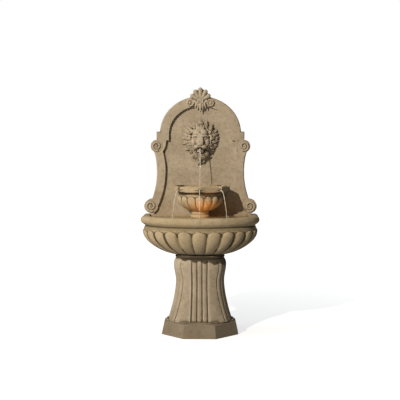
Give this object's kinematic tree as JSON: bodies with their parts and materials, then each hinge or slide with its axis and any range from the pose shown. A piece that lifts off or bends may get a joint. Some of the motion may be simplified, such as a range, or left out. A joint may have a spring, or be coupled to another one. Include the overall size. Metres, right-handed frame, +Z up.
{
  "type": "wall fountain on pedestal",
  "caption": "Floor fountain of cast stone: a reeded pedestal, a lobed half-oval basin, an arched back panel with scrolls, a lion mask and a shell crest, and a small notched spill bowl.",
  "frame": {"origin": "middle of the ground face, under the middle of the overall width and depth", "axes": "+Z up, -Y towards the viewer in front of the fountain, +X to the viewer's right; the flat back is at +Y"},
  "size_m": [0.7112, 0.4064, 1.4732],
  "materials": {
    "cast_stone": "matt sandy cast stone with a worn brown patina",
    "steel": "plain stainless steel",
    "brass": "plain brass",
    "rubber": "matt black rubber",
    "dark_plastic": "satin black plastic",
    "hose_vinyl": "black vinyl hose",
    "light_plastic": "pale nylon",
    "shaft_ceramic": "ground ceramic",
    "lamp_metal": "black anodised",
    "lamp_glass": "warm tinted glass",
    "lamp_emitters": "pale board with small emitters"
  },
  "bodies": {
    "fountain": {"pedestal": "cast_stone", "basin": "cast_stone", "back_panel": "cast_stone", "crest_shell": "cast_stone", "lion_mask": "cast_stone", "bowl_foot": "cast_stone", "basin_pads": "rubber", "panel_dowels": "steel", "crest_dowels": "steel", "mask_studs": "steel", "mask_nuts": "steel", "spout_tube": "brass", "spout_elbow": "brass", "supply_hose": "hose_vinyl", "hose_clamps": "steel", "hose_clips": "dark_plastic", "pump_housing": "dark_plastic", "impeller_shaft": "shaft_ceramic", "pump_feet": "rubber", "pump_cord_gland": "dark_plastic", "drain_fitting": "brass", "drain_nut": "brass", "light_bracket": "steel", "light_pivots": "steel"},
    "impeller": {"pump_impeller": "light_plastic"},
    "dial": {"flow_dial": "dark_plastic"},
    "strainer": {"pump_cover": "dark_plastic"},
    "plug": {"drain_plug": "rubber"},
    "light_head": {"light_housing": "lamp_metal", "light_lens": "lamp_glass", "light_led_plate": "lamp_emitters", "light_cord_gland": "dark_plastic"},
    "bowl": {"spill_bowl": "cast_stone"}
  },
  "joints": [
    {"name": "impeller_spin", "type": "hinge", "parent": "fountain", "child": "impeller", "pos_m": [-0.15, 0.03, 0.569], "axis": [1, 0, 0], "continuous": true},
    {"name": "dial_turn", "type": "hinge", "parent": "fountain", "child": "dial", "pos_m": [-0.167, 0.03, 0.6], "axis": [0, 0, 1], "range_deg": [0, 90]},
    {"name": "strainer_pull", "type": "slide", "parent": "fountain", "child": "strainer", "axis": [-1, 0, 0], "range_m": [0, 0.025]},
    {"name": "plug_lift", "type": "slide", "parent": "fountain", "child": "plug", "axis": [0, 0, 1], "range_m": [0, 0.05]},
    {"name": "light_tilt", "type": "hinge", "parent": "fountain", "child": "light_head", "pos_m": [0.06, -0.078, 0.575], "axis": [1, 0, 0], "range_deg": [-20, 25]},
    {"name": "bowl_lift", "type": "slide", "parent": "fountain", "child": "bowl", "axis": [0, 0, 1], "range_m": [0, 0.1]}
  ]
}
